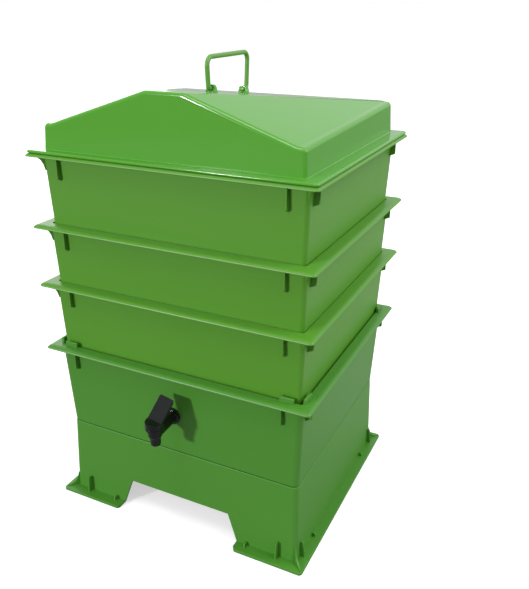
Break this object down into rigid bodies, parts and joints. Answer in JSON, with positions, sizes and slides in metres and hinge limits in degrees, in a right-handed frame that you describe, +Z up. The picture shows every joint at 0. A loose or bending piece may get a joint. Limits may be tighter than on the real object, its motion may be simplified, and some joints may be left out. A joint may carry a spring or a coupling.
{
  "type": "wormery",
  "caption": "Stacking worm composter: flared stand, liquid collector with a lever tap, nested perforated trays and a gabled lid with a swinging bail handle.",
  "frame": {"origin": "on the floor under the centre of the outer box, which reaches from the tap at the front to the tray flanges at the back", "axes": "+Z up, -Y out of the tap side, +X to the right when looking at the tap"},
  "size_m": [0.425, 0.4218, 0.6783],
  "materials": {
    "green_body": "satin moulded",
    "green_lid": "gloss moulded",
    "black_plastic": "satin",
    "black_rubber": "matt"
  },
  "bodies": {
    "stand_body": {"stand": "green_body"},
    "sump_body": {"sump": "green_body", "tap_body": "black_plastic", "tap_outer_washer": "black_rubber", "tap_inner_washer": "black_rubber", "tap_back_nut": "black_plastic"},
    "tap_lever_body": {"tap_lever": "black_plastic", "tap_plug_ring": "black_rubber"},
    "lower_tray_body": {"lower_tray": "green_body"},
    "middle_tray_body": {"middle_tray": "green_body"},
    "top_tray_body": {"top_tray": "green_body"},
    "lid_body": {"lid": "green_lid"},
    "handle_body": {"lid_handle": "green_lid"}
  },
  "joints": [
    {"name": "sump_lift", "type": "slide", "parent": "stand_body", "child": "sump_body", "axis": [0, 0, 1], "range_m": [0, 0.06]},
    {"name": "lower_tray_lift", "type": "slide", "parent": "sump_body", "child": "lower_tray_body", "axis": [0, 0, 1], "range_m": [0, 0.06]},
    {"name": "middle_tray_lift", "type": "slide", "parent": "lower_tray_body", "child": "middle_tray_body", "axis": [0, 0, 1], "range_m": [0, 0.06]},
    {"name": "top_tray_lift", "type": "slide", "parent": "middle_tray_body", "child": "top_tray_body", "axis": [0, 0, 1], "range_m": [0, 0.06]},
    {"name": "lid_lift", "type": "slide", "parent": "top_tray_body", "child": "lid_body", "axis": [0, 0, 1], "range_m": [0, 0.08]},
    {"name": "handle_swing", "type": "hinge", "parent": "lid_body", "child": "handle_body", "pos_m": [0, 0.02093, 0.6289], "axis": [0, 0.9937, -0.1118], "range_deg": [-90, 90]},
    {"name": "tap_turn", "type": "hinge", "parent": "sump_body", "child": "tap_lever_body", "pos_m": [-0.0034, -0.19687, 0.18971], "axis": [0, -0.045, 0.999], "range_deg": [-76, 14]}
  ]
}
